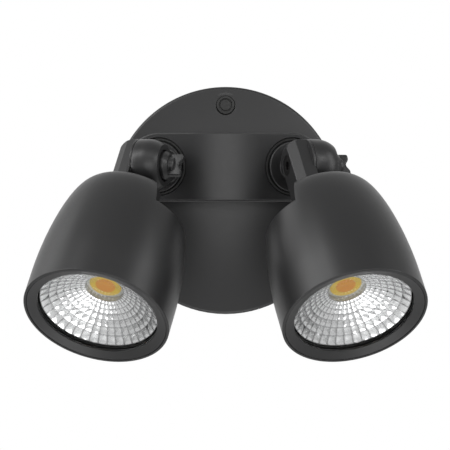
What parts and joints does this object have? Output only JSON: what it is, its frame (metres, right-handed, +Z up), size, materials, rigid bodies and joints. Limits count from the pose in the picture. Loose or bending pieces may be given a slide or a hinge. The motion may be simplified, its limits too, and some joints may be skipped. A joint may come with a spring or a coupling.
{
  "type": "outdoor spotlight",
  "caption": "Outdoor wall spotlight with two tilting and swivelling heads on knuckle arms over a round wall cover, for garden and porch walls.",
  "frame": {"origin": "centre of the round wall plate's back, on the wall surface", "axes": "+X to the viewer's right, +Y into the wall, +Z up; the lamp stands out towards -Y"},
  "size_m": [0.2336, 0.1728, 0.1655],
  "materials": {
    "black_coat": "satin black powder coat on die-cast aluminium",
    "gasket_rubber": "matte",
    "plug_rubber": "matte",
    "zinc_steel": "zinc plated",
    "screw_steel": "bright",
    "brass": "satin",
    "terminal_plastic": "matte",
    "driver_case": "matte",
    "bare_aluminium": "machined",
    "led_board_white": "white ceramic board",
    "led_phosphor": "yellow silicone over the light source",
    "holder_plastic": "matte",
    "reflector_metal": "vacuum-coated facets",
    "front_glass": "clear"
  },
  "bodies": {
    "base": {"wall_gasket": "gasket_rubber", "wall_plate": "zinc_steel", "base_cover": "black_coat", "cover_screw": "screw_steel", "screw_plug": "plug_rubber", "cable_grommet": "gasket_rubber", "terminal_block": "terminal_plastic", "terminal_screws": "brass", "led_driver": "driver_case", "driver_screws": "screw_steel", "earth_screw": "brass"},
    "left_arm_body": {"left_arm": "black_coat", "left_swivel_seal": "gasket_rubber", "left_spring_washer": "screw_steel", "left_lock_nut": "zinc_steel", "left_knuckle_bolt": "screw_steel"},
    "left_head_body": {"left_housing": "black_coat", "left_tooth_washer": "screw_steel", "left_heat_plate": "bare_aluminium", "left_heat_plate_screws": "screw_steel", "left_led_board": "led_board_white", "left_led_phosphor": "led_phosphor", "left_led_holder": "holder_plastic", "left_holder_screws": "screw_steel", "left_reflector": "reflector_metal", "left_glass_seal": "gasket_rubber", "left_front_glass": "front_glass", "left_front_ring": "black_coat"},
    "left_knob_body": {"left_knob": "black_coat"},
    "right_arm_body": {"right_arm": "black_coat", "right_swivel_seal": "gasket_rubber", "right_spring_washer": "screw_steel", "right_lock_nut": "zinc_steel", "right_knuckle_bolt": "screw_steel"},
    "right_head_body": {"right_housing": "black_coat", "right_tooth_washer": "screw_steel", "right_heat_plate": "bare_aluminium", "right_heat_plate_screws": "screw_steel", "right_led_board": "led_board_white", "right_led_phosphor": "led_phosphor", "right_led_holder": "holder_plastic", "right_holder_screws": "screw_steel", "right_reflector": "reflector_metal", "right_glass_seal": "gasket_rubber", "right_front_glass": "front_glass", "right_front_ring": "black_coat"},
    "right_knob_body": {"right_knob": "black_coat"}
  },
  "joints": [
    {"name": "left_swivel", "type": "hinge", "parent": "base", "child": "left_arm_body", "pos_m": [-0.0407, -0.0436, 0.0203], "axis": [-0.3371, -0.9415, 0], "range_deg": [-120, 25]},
    {"name": "left_tilt", "type": "hinge", "parent": "left_arm_body", "child": "left_head_body", "pos_m": [-0.0498, -0.06902, 0.0203], "axis": [0.9415, -0.3371, 0], "range_deg": [-90, 39]},
    {"name": "left_knob_turn", "type": "hinge", "parent": "left_arm_body", "child": "left_knob_body", "pos_m": [-0.0498, -0.06902, 0.0203], "axis": [0.9415, -0.3371, 0], "range_deg": [0, 270]},
    {"name": "right_swivel", "type": "hinge", "parent": "base", "child": "right_arm_body", "pos_m": [0.0407, -0.0436, 0.0203], "axis": [0.3371, -0.9415, 0], "range_deg": [-25, 120]},
    {"name": "right_tilt", "type": "hinge", "parent": "right_arm_body", "child": "right_head_body", "pos_m": [0.0498, -0.06902, 0.0203], "axis": [0.9415, 0.3371, 0], "range_deg": [-90, 39]},
    {"name": "right_knob_turn", "type": "hinge", "parent": "right_arm_body", "child": "right_knob_body", "pos_m": [0.0498, -0.06902, 0.0203], "axis": [0.9415, 0.3371, 0], "range_deg": [0, 270]}
  ]
}
